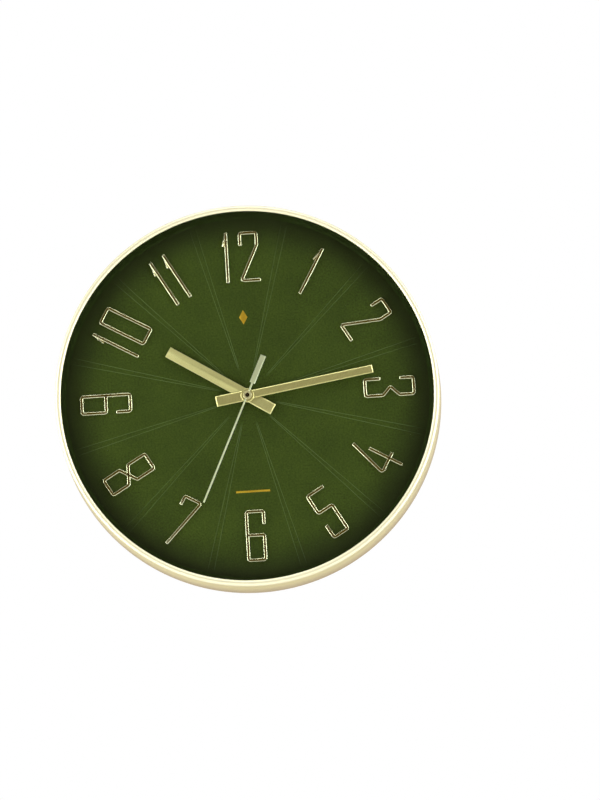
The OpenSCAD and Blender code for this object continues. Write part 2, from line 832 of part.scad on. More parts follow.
module contact_negative() {
    plate_x = -inner_w + 0.1;
    bow = battery_x - plate_x;
    spring_w = 4;
    color("silver") stood() translate([0, battery_y, battery_z - contact_w / 2]) {
        translate([plate_x, -contact_w / 2, 0]) cube([contact_t, contact_w, contact_w]);
        translate([plate_x, spring_w / 2, 0]) rotate([90, 0, 0]) linear_extrude(spring_w)
            polygon([[0, 0], [contact_t, 0], [bow, contact_w / 2], [contact_t, contact_w],
                [0, contact_w], [bow - 1.5 * contact_t, contact_w / 2]]);
    }
}

module setting_knob() {
    knob_z = z_back - 0.3;
    knob_h = 2.8;
    ridges = 36;
    ridge_depth = 0.35;
    color("gray") stood() translate(knob_at) {
        translate([0, 0, knob_z - knob_h]) linear_extrude(knob_h)
            polygon([for (i = [0:2 * ridges - 1])
                let (r = knob_r - (i % 2) * ridge_depth, a = 180 / ridges * i)
                [r * cos(a), r * sin(a)]]);
        rod(knob_arbor_r, knob_z - 1, z_reduction - pinion_over);
        pinion(knob_a, knob_leaves, reduction_teeth,
            z_reduction - pinion_over, z_reduction + gear_t + pinion_over, knob_turn);
        rod(pivot_r, z_reduction, z_pivot_high);
    }
}

// ---- Hanger ----

module hanger_plate() {
    plate_w = 46;
    plate_h = 26;
    color("silver") stood() difference() {
        translate([0, hanger_y, hanger_gap]) linear_extrude(hanger_t)
            polygon(rounded_box(plate_w, plate_h, 4));
        rod(keyhole_r, hanger_gap - 1, hanger_gap + hanger_t + 1, [0, keyhole_z]);
        translate([-slot_w / 2, keyhole_z, hanger_gap - 1])
            cube([slot_w, slot_len - slot_w / 2, hanger_t + 2]);
        rod(slot_w / 2, hanger_gap - 1, hanger_gap + hanger_t + 1,
            [0, keyhole_z + slot_len - slot_w / 2]);
        for (x = [-post_x, post_x])
            rod(screw_r + 0.2, hanger_gap - 1, hanger_gap + hanger_t + 1, [x, hanger_y]);
    }
}

module hanger_posts() {
    post_back = hanger_gap + hanger_t;
    bore_depth = 10;
    hanger_post_r = 4;
    color("dimgray") stood() for (x = [-post_x, post_x]) difference() {
        rod(hanger_post_r, post_back, z_carrier, [x, hanger_y]);
        rod(screw_r + screw_fit, post_back - 1, post_back + bore_depth, [x, hanger_y]);
    }
}

module hanger_screws() {
    head_h = 1.6;
    head_r = 2.8;
    grip = 8;
    cross_len = 3;
    cross_w = 0.6;
    cross_depth = 0.8;
    color("silver") stood() for (x = [-post_x, post_x]) difference() {
        union() {
            rod(head_r, hanger_gap - head_h, hanger_gap, [x, hanger_y]);
            rod(screw_r, hanger_gap - 0.1, hanger_gap + hanger_t + grip, [x, hanger_y]);
        }
        for (turn = [0, 90])
            translate([x, hanger_y, hanger_gap - head_h - 1]) rotate(turn)
                translate([-cross_len / 2, -cross_w / 2, 0])
                    cube([cross_len, cross_w, 1 + cross_depth]);
    }
}

case_shell();
glass_lens();
spacer_ring();
dial();
dial_emblem();
dial_bar();
numeral(1);  // numeral_01
numeral(2);  // numeral_02
numeral(3);  // numeral_03
numeral(4);  // numeral_04
numeral(5);  // numeral_05
numeral(6);  // numeral_06
numeral(7);  // numeral_07
numeral(8);  // numeral_08
numeral(9);  // numeral_09
numeral(10);  // numeral_10
numeral(11);  // numeral_11
numeral(12);  // numeral_12
hour_hand();
minute_hand();
second_hand();
dial_carrier();
brass_washer();
fixing_nut();
rubber_washer();
movement_base();
movement_cover();
train_plate();
second_wheel();
third_wheel();
centre_wheel();
cannon_pinion();
reduction_wheel();
hour_wheel();
intermediate_wheel();
rotor_pinion();
rotor_magnet();
stator();
coil_core();
coil_bobbin();
coil_winding();
circuit_board();
quartz_crystal();
contact_positive();
contact_negative();
battery();
setting_knob();
hanger_plate();
hanger_posts();
hanger_screws();
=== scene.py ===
"""A round wall clock: a gold drum case, a green leatherette dial with raised gold numerals,
three gold hands behind flat glass, and a quartz movement and hanger plate at the back.
Plans are drawn as seen from the front, in millimetres, and stood up against the wall."""

import math

import bmesh
import bpy
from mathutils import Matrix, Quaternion, Vector


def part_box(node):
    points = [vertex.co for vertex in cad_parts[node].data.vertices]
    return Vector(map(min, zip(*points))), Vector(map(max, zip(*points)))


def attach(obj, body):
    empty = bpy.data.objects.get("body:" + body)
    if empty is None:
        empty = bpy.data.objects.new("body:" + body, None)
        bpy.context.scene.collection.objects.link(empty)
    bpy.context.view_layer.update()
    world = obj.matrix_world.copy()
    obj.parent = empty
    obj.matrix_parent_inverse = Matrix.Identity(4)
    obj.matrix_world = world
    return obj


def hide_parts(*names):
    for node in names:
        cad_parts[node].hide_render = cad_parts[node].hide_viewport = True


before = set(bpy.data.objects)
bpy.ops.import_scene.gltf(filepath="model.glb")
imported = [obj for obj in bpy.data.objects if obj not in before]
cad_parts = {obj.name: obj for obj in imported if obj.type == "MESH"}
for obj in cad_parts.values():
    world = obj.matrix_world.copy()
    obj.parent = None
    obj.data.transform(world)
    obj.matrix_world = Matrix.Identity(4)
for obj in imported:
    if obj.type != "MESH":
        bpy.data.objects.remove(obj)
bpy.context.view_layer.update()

scene = bpy.context.scene
MM = 0.001

# ---- Camera ----
# A long lens two metres away, a little below the clock and a little to its right. The
# clock hangs slightly turned in the view, and its middle lies left of the view's middle.
case_low, case_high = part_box("case_shell")
camera_distance = 2.0
azimuth, elevation = math.radians(2.0), math.radians(-9)
yaw, pitch, roll = math.radians(1.165), math.radians(0.145), math.radians(3.25)
towards_camera = Vector((
    math.sin(azimuth) * math.cos(elevation),
    -math.cos(azimuth) * math.cos(elevation),
    math.sin(elevation)))
camera = bpy.data.objects.new("camera", bpy.data.cameras.new("camera"))
camera.data.lens = 117.4
camera.data.clip_end = 50
camera.location = Vector((0, case_low.y, 0)) + towards_camera * camera_distance
camera.rotation_mode = "QUATERNION"
camera.rotation_quaternion = (
    (-towards_camera).to_track_quat("-Z", "Y")
    @ Quaternion((0, 0, 1), -roll) @ Quaternion((0, 1, 0), -yaw) @ Quaternion((1, 0, 0), -pitch))
scene.collection.objects.link(camera)
scene.camera = camera
scene.view_settings.view_transform = "Standard"


# ---- Light and floor ----
# A white studio with a dark brown zone on the camera's side, so that polished metal has a
# dark middle between bright edges. The camera itself sees plain white behind the clock. The
# low softbox stays out of reflections, because the flat glass would mirror it.
def add(tree, kind, settings=None, links=None):
    """One node of a tree, with its settings and the outputs that run into its sockets."""
    made = tree.nodes.new(kind)
    for name, value in (settings or {}).items():
        if isinstance(name, str) and hasattr(made, name):
            setattr(made, name, value)
        else:
            made.inputs[name].default_value = value
    for name, source in (links or {}).items():
        tree.links.new(source, made.inputs[name])
    return made


def linear(colour):
    """An sRGB hex colour as linear red, green, blue and alpha."""
    channels = [int(colour[i:i + 2], 16) / 255 for i in (0, 2, 4)]
    return [c / 12.92 if c <= 0.04045 else ((c + 0.055) / 1.055) ** 2.4 for c in channels] + [1]


world = bpy.data.worlds.new("studio")
scene.world = world
world.use_nodes = True
tree = world.node_tree
tree.nodes.clear()
direction = add(tree, "ShaderNodeTexCoord").outputs["Generated"]
dark_towards = (0.04, -0.96, 0.27)
dark_reach, dark_core = math.radians(36), math.radians(16)
facing = add(tree, "ShaderNodeVectorMath", {"operation": "DOT_PRODUCT", 1: dark_towards},
             {0: direction}).outputs["Value"]
dark_side = add(tree, "ShaderNodeMapRange", {
    "interpolation_type": "SMOOTHSTEP", "From Min": math.cos(dark_reach),
    "From Max": math.cos(dark_core)}, {"Value": facing})
walls = add(tree, "ShaderNodeMix", {"data_type": "RGBA", 6: linear("F9F8F4"), 7: linear("584826")},
            {0: dark_side.outputs[0]})
around = add(tree, "ShaderNodeBackground", None, {"Color": walls.outputs[2]})
behind = add(tree, "ShaderNodeBackground", {"Color": (1, 1, 1, 1), "Strength": 1.0})
seen = add(tree, "ShaderNodeLightPath").outputs["Is Camera Ray"]
chosen = add(tree, "ShaderNodeMixShader", None,
             {0: seen, 1: around.outputs[0], 2: behind.outputs[0]})
add(tree, "ShaderNodeOutputWorld", None, {"Surface": chosen.outputs[0]})

SOFTBOXES = {
    "left": ((-1.25, -0.75, -0.15), (0.7, 1.5), 26),
    "right": ((1.25, -0.75, 0.1), (0.7, 1.5), 26),
    "top": ((0, -0.9, 1.3), (1.2, 0.5), 9),
    "low_left": ((-0.55, -1.2, -0.6), (0.5, 0.5), 7),
}
for name, (place, size, watts) in SOFTBOXES.items():
    lamp = bpy.data.lights.new("softbox_" + name, "AREA")
    lamp.shape = "RECTANGLE"
    lamp.size, lamp.size_y = size
    lamp.energy = watts
    softbox = bpy.data.objects.new(lamp.name, lamp)
    softbox.location = place
    softbox.rotation_mode = "QUATERNION"
    softbox.rotation_quaternion = (-Vector(place)).to_track_quat("-Z", "Y")
    softbox.visible_camera = False
    softbox.visible_glossy = name != "low_left"
    scene.collection.objects.link(softbox)


def stood(x, up, out):
    """A point of the front plan, in millimetres right, up and out from the wall."""
    return Vector((x, -out, up)) * MM


def new_object(name, bm, material, crease=35):
    """An object from a bmesh, shaded smooth apart from its sharp edges."""
    bmesh.ops.remove_doubles(bm, verts=bm.verts, dist=0.001 * MM)
    bmesh.ops.recalc_face_normals(bm, faces=bm.faces)
    mesh = bpy.data.meshes.new(name)
    bm.to_mesh(mesh)
    bm.free()
    mesh.materials.append(material)
    mesh.shade_smooth()
    mesh.set_sharp_from_angle(angle=math.radians(crease))
    made = bpy.data.objects.new(name, mesh)
    scene.collection.objects.link(made)
    return made


def finish_of(name, **settings):
    """A new material, its node tree and its Principled shader with these settings."""
    material = bpy.data.materials.new(name)
    material.use_nodes = True
    shader = material.node_tree.nodes["Principled BSDF"]
    for socket, value in settings.items():
        shader.inputs[socket.replace("_", " ")].default_value = value
    return material, material.node_tree, shader


def join(tree, shader, colour, gloss, bump):
    """Runs a colour, a roughness and a relief into a Principled shader."""
    for socket, source in (("Base Color", colour), ("Roughness", gloss), ("Normal", bump)):
        tree.links.new(source, shader.inputs[socket])


def grained(name, light, dark, grain, rough, relief, **settings):
    """A surface with clouds of colour twelve grains wide, and a gloss and relief by the grain."""
    material, tree, shader = finish_of(name, **settings)
    place = add(tree, "ShaderNodeTexCoord").outputs["Object"]
    cloud = add(tree, "ShaderNodeTexNoise", {"Scale": 1 / (12 * grain * MM), "Detail": 4},
                {"Vector": place})
    fine = add(tree, "ShaderNodeTexNoise", {"Scale": 1 / (grain * MM), "Detail": 3},
               {"Vector": place})
    colour = add(tree, "ShaderNodeMix", {"data_type": "RGBA", 6: linear(dark), 7: linear(light)},
                 {0: cloud.outputs[0]})
    gloss = add(tree, "ShaderNodeMapRange", {"To Min": rough[0], "To Max": rough[1]},
                {"Value": fine.outputs[0]})
    bump = add(tree, "ShaderNodeBump", {"Strength": 1, "Distance": relief * MM},
               {"Height": fine.outputs[0]})
    join(tree, shader, colour.outputs[2], gloss.outputs[0], bump.outputs[0])
    return material


floor_drop = 0.75
floor_half = 5
bm = bmesh.new()
bmesh.ops.create_grid(bm, x_segments=16, y_segments=16, size=floor_half)
bmesh.ops.translate(bm, verts=bm.verts, vec=(0, 0, -floor_drop))
floor = new_object("floor", bm, grained("studio_floor", "F4F2EE", "EDEBE6", 4, (0.6, 0.75), 0.05))


# ---- Case ----
# A drum of metallised ABS under a satin lacquer, moulded in one piece with its front lip
# and with eight nibs inside that hold the carrier. The crowned lip catches light all round.
case_r = case_high.x / MM
case_h = -case_low.y / MM
case_taper = 2.5
case_wall = 2.0
lip_w = 4.2
lip_t = 1.6
front_r = case_r - case_taper
opening_r = front_r - lip_w


def drum_r(out):
    """The drum's outer radius at a distance from the wall."""
    return case_r - case_taper * out / case_h


def arc(centre, radius, start, end, steps):
    """Points on an arc in a plan or a profile, with its angles in degrees."""
    turns = [math.radians(start + (end - start) * i / steps) for i in range(steps + 1)]
    return [(centre[0] + radius * math.cos(a), centre[1] + radius * math.sin(a)) for a in turns]


def lathe(bm, profile, start=0, end=360, steps=256):
    """Turns a closed profile of radius and distance from the wall about the clock's axis."""
    count = steps if end - start == 360 else steps + 1
    turns = [math.radians(start + (end - start) * i / steps) for i in range(count)]
    rings = [[bm.verts.new(stood(r * math.sin(a), r * math.cos(a), out)) for r, out in profile]
             for a in turns]
    for i in range(steps):
        near, far = rings[i], rings[(i + 1) % count]
        for j in range(len(profile)):
            k = (j + 1) % len(profile)
            bm.faces.new((near[j], near[k], far[k], far[j]))
    if count > steps:
        bm.faces.new(rings[0])
        bm.faces.new(rings[-1])


# Satin gold on plastic: a slightly green gold with a soft wide gloss and fine orange peel from the
# lacquer. Its colour is painted paler on the lip as a painted highlight, and a little browner
# towards the back rim as painted shade.
satin_gold, tree, shader = finish_of("metallised_abs_satin", Metallic=0.7, Coat_Weight=0.15,
                                     Coat_Roughness=0.25)
place = add(tree, "ShaderNodeTexCoord").outputs["Object"]
peel = add(tree, "ShaderNodeTexNoise", {"Scale": 1 / (0.9 * MM), "Detail": 3}, {"Vector": place})
cloud = add(tree, "ShaderNodeTexNoise", {"Scale": 1 / (38 * MM), "Detail": 3}, {"Vector": place})
drum = add(tree, "ShaderNodeMix", {"data_type": "RGBA", 6: linear("B5A86C"), 7: linear("C2B47C")},
           {0: cloud.outputs[0]})
depth = add(tree, "ShaderNodeSeparateXYZ", None, {0: place}).outputs["Y"]
# Painted shade: the gold is browned towards the back rim, over the back three fifths of the drum.
back_shade_mask = add(tree, "ShaderNodeMapRange", {"From Min": -0.6 * case_h * MM, "From Max": 0},
           {"Value": depth})
painted_back_shade = add(tree, "ShaderNodeMix", {"data_type": "RGBA", 7: linear("8C7342")},
           {0: back_shade_mask.outputs[0], 6: drum.outputs[2]})
# Painted highlight: the front 6 mm of the case, the lip, is coloured pale cream.
lip_highlight_mask = add(tree, "ShaderNodeMapRange", {
    "From Min": -(case_h - 6) * MM, "From Max": -(case_h - 1.5) * MM}, {"Value": depth})
gold = add(tree, "ShaderNodeMix", {"data_type": "RGBA", 7: linear("D2CEB0")},
           {0: lip_highlight_mask.outputs[0], 6: painted_back_shade.outputs[2]})
gloss = add(tree, "ShaderNodeMapRange", {"To Min": 0.36, "To Max": 0.5}, {"Value": peel.outputs[0]})
bump = add(tree, "ShaderNodeBump", {"Distance": 0.008 * MM}, {"Height": peel.outputs[0]})
join(tree, shader, gold.outputs[2], gloss.outputs[0], bump.outputs[0])

outer_round = 1.8
back_round = 0.6
rim_edge = 0.3
crown_round = 3.2
crown_start, crown_end = 78, 120
lip_back = case_h - lip_t
round_out = case_h - crown_round + (crown_round - outer_round) * math.sin(math.radians(crown_start))
profile = arc((drum_r(0) - back_round, back_round), back_round, 270, 360, 5)
profile += arc((drum_r(round_out) - outer_round, round_out), outer_round, 0, crown_start, 9)
crown_r = profile[-1][0] - crown_round * math.cos(math.radians(crown_start))
profile += arc((crown_r, case_h - crown_round), crown_round, crown_start, crown_end, 8)[1:]
inner_round = (profile[-1][0] - opening_r) / (1 + math.cos(math.radians(crown_end)))
inner_out = profile[-1][1] - inner_round * math.sin(math.radians(crown_end))
profile += arc((opening_r + inner_round, inner_out), inner_round, crown_end, 180, 6)[1:]
profile += [(opening_r, lip_back), (drum_r(lip_back) - case_wall, lip_back),
            (drum_r(0) - case_wall, rim_edge), (drum_r(0) - case_wall + rim_edge, 0)]
bm = bmesh.new()
lathe(bm, profile)
carrier_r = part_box("dial_carrier")[1].x / MM
carrier_back = -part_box("rubber_washer")[0].y / MM
nib_gap = 0.1
nib_top = carrier_back - nib_gap
nib_h = 2
nib_reach = 1.2
nib_count = 8
nib_half_turn = 2.5
sunk_in_wall = 0.5
nib_root = drum_r(nib_top) - case_wall + sunk_in_wall
nib = [(nib_root, nib_top - 2 * nib_h), (nib_root, nib_top),
       (carrier_r - nib_reach, nib_top), (carrier_r - nib_reach, nib_top - nib_h / 2)]
for i in range(nib_count):
    middle = 360 / nib_count * (i + 0.5)
    lathe(bm, nib, middle - nib_half_turn, middle + nib_half_turn, 8)
case = new_object("case", bm, satin_gold)
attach(case, "root")
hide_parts("case_shell")


# ---- Glass ----
# A disc of float glass with ground edges, dropped in behind the lip. It is nearly
# invisible from the front, apart from a weak reflection that grows at low angles.
glass_low, glass_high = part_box("glass_lens")
glass_r = glass_high.x / MM
glass_back, glass_front = -glass_high.y / MM, -glass_low.y / MM
ground = 0.25
float_glass = bpy.data.materials.new("float_glass")
float_glass.use_nodes = True
tree = float_glass.node_tree
tree.nodes.clear()
place = add(tree, "ShaderNodeTexCoord").outputs["Object"]
haze = add(tree, "ShaderNodeTexNoise", {"Scale": 1 / (45 * MM), "Detail": 2}, {"Vector": place})
wipe = add(tree, "ShaderNodeMapRange", {"To Min": 0.01, "To Max": 0.05}, {"Value": haze.outputs[0]})
clear = add(tree, "ShaderNodeBsdfTransparent", {"Color": linear("FAFDFB")})
sheen = add(tree, "ShaderNodeBsdfGlossy", {"Color": (1, 1, 1, 1)}, {"Roughness": wipe.outputs[0]})
edge_on = add(tree, "ShaderNodeFresnel", {"IOR": 1.5})
weak = add(tree, "ShaderNodeMath", {"operation": "MULTIPLY", 1: 0.4}, {0: edge_on.outputs[0]})
pane = add(tree, "ShaderNodeMixShader", None,
           {0: weak.outputs[0], 1: clear.outputs[0], 2: sheen.outputs[0]})
add(tree, "ShaderNodeOutputMaterial", None, {"Surface": pane.outputs[0]})

bm = bmesh.new()
lathe(bm, [(0, glass_back), (glass_r - ground, glass_back), (glass_r, glass_back + ground),
           (glass_r, glass_front - ground), (glass_r - ground, glass_front), (0, glass_front)],
      steps=192)
glass = new_object("glass", bm, float_glass, crease=20)
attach(glass, "root")
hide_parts("glass_lens")


# ---- Spacer ring ----
# A matt ring of dark polystyrene between the glass and the dial, flared towards the dial. Its
# near-black green is partly painted shade: it is made as dark as the dial's shaded edge, so that
# the ring stands for the shade under the lip.
dial_front = -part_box("dial")[0].y / MM
ring_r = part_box("spacer_ring")[1].x / MM
ring_shows = 0.4
ring_edge = 0.4
ring_flare = 2.8
hair = 0.02
ring_head_r = opening_r - ring_shows
# Painted shade: the ring's near-black green stands in for the shade under the lip.
shade_dark_styrene = grained("matt_polystyrene_green_black", "1F2A0E", "182109", 0.5, (0.75, 0.9), 0.03,
                       Specular_IOR_Level=0.05)
bm = bmesh.new()
ring_back = dial_front + hair
lathe(bm, [(ring_r, ring_back), (ring_r, glass_back), (ring_head_r + ring_edge, glass_back),
           (ring_head_r, glass_back - ring_edge)]
      + [(ring_head_r - ring_flare * (1 - math.cos(math.radians(a))),
          glass_back - (glass_back - ring_back) * math.sin(math.radians(a)))
         for a in range(15, 91, 15)])
ring = new_object("ring", bm, shade_dark_styrene)
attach(ring, "root")
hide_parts("spacer_ring")


# ---- Dial ----
# A board covered with embossed leatherette. Twelve pairs of straight creases are pressed
# into it with a heated rule, so their edges are soft and they fade in near the middle.
dial_back = -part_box("dial")[1].y / MM
dial_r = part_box("dial")[1].x / MM
hole_r = 3.9
crease_w = 0.6
crease_depth = 0.3
crease_spread = 1
sector_turn = 30
fade_in, fade_out = 12, 6
crease_start = crease_w / (2 * math.sin(math.radians(crease_spread))) + 2
crease_end = ring_head_r - ring_flare - 1

# Embossed PVC: deep green and nearly matt, with a pebble of a millimetre, a fine noise in it, and
# broad clouds where the emboss is deeper. The hot rule leaves its creases glossier, and their
# lighter green is a painted sheen. The green is darkened towards the rim as painted shade under the
# lip.
leatherette, tree, shader = finish_of("embossed_pvc_leatherette", IOR=1.45,
                                      Specular_IOR_Level=0.12)
place = add(tree, "ShaderNodeTexCoord").outputs["Object"]
pebble = add(tree, "ShaderNodeTexVoronoi", {
    "feature": "DISTANCE_TO_EDGE", "Scale": 1 / (1.1 * MM)}, {"Vector": place})
fuzz = add(tree, "ShaderNodeTexNoise", {"Scale": 1 / (1.3 * MM), "Detail": 5}, {"Vector": place})
broad = add(tree, "ShaderNodeTexNoise", {"Scale": 1 / (30 * MM), "Detail": 4}, {"Vector": place})
relief = add(tree, "ShaderNodeMath", {"operation": "MULTIPLY_ADD", 1: 0.6},
             {0: pebble.outputs["Distance"], 2: fuzz.outputs[0]})
speckle = add(tree, "ShaderNodeMapRange", {"From Min": 0.3, "From Max": 0.75},
              {"Value": fuzz.outputs[0]})
green = add(tree, "ShaderNodeMix", {"data_type": "RGBA", 6: linear("2E390F"), 7: linear("43501A")},
            {0: broad.outputs[0]})
grain = add(tree, "ShaderNodeMix", {
    "data_type": "RGBA", "blend_type": "MULTIPLY", 7: linear("9DA38A")},
    {0: speckle.outputs[0], 6: green.outputs[2]})
skin = add(tree, "ShaderNodeMapRange", {"To Min": 0.65, "To Max": 0.85}, {"Value": fuzz.outputs[0]})
depth = add(tree, "ShaderNodeSeparateXYZ", None, {0: place}).outputs["Y"]
pressed = add(tree, "ShaderNodeMapRange", {
    "From Min": -(dial_front - 0.02) * MM, "From Max": -(dial_front - 0.12) * MM}, {"Value": depth})
# Painted sheen: the pressed creases are coloured a lighter green; their lower roughness is real.
painted_crease_sheen = add(tree, "ShaderNodeMix", {"data_type": "RGBA", 7: linear("4E5C34")},
              {0: pressed.outputs[0], 6: grain.outputs[2]})
flat_place = add(tree, "ShaderNodeVectorMath", {"operation": "MULTIPLY", 1: (1, 0, 1)}, {0: place})
reach = add(tree, "ShaderNodeVectorMath", {"operation": "LENGTH"}, {0: flat_place.outputs[0]})
# Painted shade: the outer quarter of the dial is darkened towards the rim.
painted_rim_shade = add(tree, "ShaderNodeMapRange", {
    "interpolation_type": "SMOOTHSTEP", "From Min": 0.75 * dial_r * MM, "From Max": dial_r * MM},
    {"Value": reach.outputs["Value"]})
green = add(tree, "ShaderNodeMix", {"data_type": "RGBA", 7: linear("1A200A")},
            {0: painted_rim_shade.outputs[0], 6: painted_crease_sheen.outputs[2]})
gloss = add(tree, "ShaderNodeMix", {"data_type": "FLOAT", 3: 0.3},
            {0: pressed.outputs[0], 2: skin.outputs[0]})
bump = add(tree, "ShaderNodeBump", {"Strength": 0.5, "Distance": 0.06 * MM},
           {"Height": relief.outputs[0]})
join(tree, shader, green.outputs[2], gloss.outputs[0], bump.outputs[0])

bm = bmesh.new()
radii = [hole_r, 9, crease_start] + [crease_start + (crease_end - crease_start) * t
                                     for t in (0.04, 0.1, 0.25, 0.5, 0.75, 0.94, 1)] + [dial_r]
across = [-1.6, -1, -0.7, -0.35, 0, 0.35, 0.7, 1, 1.6]
rows = []
for r in radii:
    gap = 2 * r * math.sin(math.radians(crease_spread))
    reach = min(crease_w / 2, 0.3 * gap)
    fade = min(1, max(0, (r - crease_start) / fade_in), max(0, (crease_end + 0.01 - r) / fade_out))
    row = []
    for sector in range(12):
        for side in (-1, 1):
            middle = sector_turn / 2 + sector_turn * sector + side * crease_spread
            for t in across:
                turn = math.radians(middle) + t * reach / r
                depth = crease_depth * fade * max(0, math.cos(t * math.pi / 2)) if abs(t) < 1 else 0
                row.append(bm.verts.new(stood(r * math.sin(turn), r * math.cos(turn),
                                              dial_front - depth)))
            for part in range(1, 5) if side == 1 else []:
                turn = math.radians(middle + (sector_turn - 2 * crease_spread) * part / 5)
                row.append(bm.verts.new(stood(r * math.sin(turn), r * math.cos(turn), dial_front)))
    rows.append(row)
for edge in (rows[-1], rows[0]):
    rows.append([bm.verts.new(Vector((v.co.x, -dial_back * MM, v.co.z))) for v in edge])
order = [len(radii) + 1] + list(range(len(radii) + 1)) + [len(radii) + 1]
for low, high in zip(order, order[1:]):
    count = len(rows[low])
    for i in range(count):
        k = (i + 1) % count
        bm.faces.new((rows[low][i], rows[low][k], rows[high][k], rows[high][i]))
dial = new_object("dial_face", bm, leatherette, crease=50)
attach(dial, "root")
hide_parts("dial")


# ---- Dial marks ----
# A small lozenge and a plain bar, blocked onto the dial in gold foil. They stand a little
# proud of the dial and have soft edges.
foil_edge, foil_drop = 0.15, 0.08
foil = grained("hot_stamped_gold_foil", "E3B73C", "C9992A", 0.5, (0.3, 0.45), 0.02, Metallic=0.85)


def prism(bm, outline, back, front, edge, drop):
    """Extrudes a closed outline from back to front, chamfered so far in and so far down."""
    low = [bm.verts.new(stood(x, up, back)) for x, up in outline]
    high = [bm.verts.new(stood(x, up, front - drop)) for x, up in outline]
    bm.faces.new(low)
    top = bm.faces.new(high)
    count = len(outline)
    for i in range(count):
        k = (i + 1) % count
        bm.faces.new((low[i], low[k], high[k], high[i]))
    top.normal_update()
    if top.normal.y > 0:
        top.normal_flip()
    bmesh.ops.inset_region(bm, faces=[top], thickness=edge * MM, depth=drop * MM,
                           use_even_offset=True)


for name, node_name in (("lozenge", "dial_emblem"), ("bar", "dial_bar")):
    low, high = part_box(node_name)
    x, up = high.x / MM, high.z / MM
    middle = (low.z + high.z) / 2 / MM
    corners = [(x, middle), (0, up), (-x, middle), (0, 2 * middle - up)]
    if name == "bar":
        corners = [(x, 2 * middle - up), (x, up), (-x, up), (-x, 2 * middle - up)]
    bm = bmesh.new()
    prism(bm, corners, dial_front, -low.y / MM, foil_edge, foil_drop)
    mark = new_object(name, bm, foil)
    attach(mark, "root")
    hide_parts(node_name)


# ---- Numerals ----
# Die-cast digits, polished and plated in pale gold, each a bar with a nearly flat top and
# round shoulders. They are glued to the dial, and those of the lower half read from the centre.
digit_w = 13.1
digit_h = 37.6
stroke_half = 1.3
flat_half = 0.7
stroke_h = (-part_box("numeral_12")[0].y / MM) - dial_front
numeral_r = 109.5
PAIRED = {10: (-10.2, 6.8), 11: (-5.8, 5.8), 12: (-10.2, 6.8)}


def ring_of(points):
    """A line that comes back to its first point."""
    return points + points[:1]


DIGITS = {
    0: [ring_of([(0, 1), (-1, 1), (-1, -1), (1, -1), (1, 1)])],
    2: [[(-0.95, 0.53), (-0.95, 1), (1.03, 1), (1.03, 0.47), (-0.98, -1), (1.12, -1)]],
    3: [[(-1.05, 0.5), (-1.05, 1), (0.95, 1), (0.95, 0.4), (-0.08, 0.04), (0.95, -0.28),
         (0.95, -1), (-1.05, -1), (-1.05, -0.42)]],
    4: [[(0.4, 1.02), (-1.05, -0.52), (1.35, -0.52)], [(0.8, 0.34), (0.8, -1.05)]],
    5: [[(1.35, 1), (-0.73, 1), (-0.73, 0.17), (1.18, 0.17), (1.18, -1), (-0.73, -1),
         (-0.73, -0.47)]],
    6: [[(1.06, 0.57), (1.06, 1.05), (-0.94, 1.05), (-0.94, -0.94), (1.04, -0.94),
         (1.04, 0.08), (-0.94, 0.08)]],
    7: [[(-1.22, 0.66), (-1.22, 1), (0.85, 1), (-0.6, -1.02)]],
    8: [ring_of([(0, 0), (-0.93, 0.18), (-0.93, 1), (1.12, 1), (1.12, 0.18), (-0.93, -0.24),
                 (-0.93, -1), (1.14, -1), (1.14, -0.24)])],
    9: [[(1.07, 0), (-0.97, 0), (-0.97, 1), (1.06, 1), (1.08, -1), (-0.94, -1), (-0.94, -0.47)]],
}

# Plated zinc: mirror-like with a faint waviness from polishing, pale gold, and a touch
# duller and browner in patches where fingers and time have been at it.
plated_zinc, tree, shader = finish_of("polished_pale_gold_plate", Metallic=1)
place = add(tree, "ShaderNodeTexCoord").outputs["Object"]
wave = add(tree, "ShaderNodeTexNoise", {"Scale": 1 / (3 * MM), "Detail": 2}, {"Vector": place})
dull = add(tree, "ShaderNodeTexNoise", {"Scale": 1 / (0.8 * MM), "Detail": 3}, {"Vector": place})
plate = add(tree, "ShaderNodeMix", {"data_type": "RGBA", 6: linear("F6EDC6"), 7: linear("FEF8DE")},
            {0: wave.outputs[0]})
gloss = add(tree, "ShaderNodeMapRange", {"To Min": 0.04, "To Max": 0.1}, {"Value": dull.outputs[0]})
bump = add(tree, "ShaderNodeBump", {"Distance": 0.012 * MM}, {"Height": wave.outputs[0]})
join(tree, shader, plate.outputs[2], gloss.outputs[0], bump.outputs[0])


def rounded(points, radius, steps=6):
    """A path with its corners rounded; a path that ends where it starts is rounded there too."""
    closed = (points[0] - points[-1]).length < 1e-6
    if closed:
        points = points[:-1]
    path = []
    for i, corner in enumerate(points):
        if not closed and i in (0, len(points) - 1):
            path.append(corner)
            continue
        before = points[i - 1] - corner
        after = points[(i + 1) % len(points)] - corner
        half_turn = (math.pi - before.angle(after)) / 2
        cut = min(radius * math.tan(half_turn), 0.45 * before.length, 0.45 * after.length)
        start, end = corner + before.normalized() * cut, corner + after.normalized() * cut
        for s in range(steps + 1):
            t = s / steps
            path.append(start * (1 - t) ** 2 + corner * 2 * t * (1 - t) + end * t * t)
    return path, closed


def bar_profile(half, height, flat):
    """Half of a stroke's cross-section: offsets and heights over a flat top and round sides."""
    shoulder = half - flat
    return [(half, 0)] + arc((flat, height - shoulder), shoulder, 0, 90, 6)


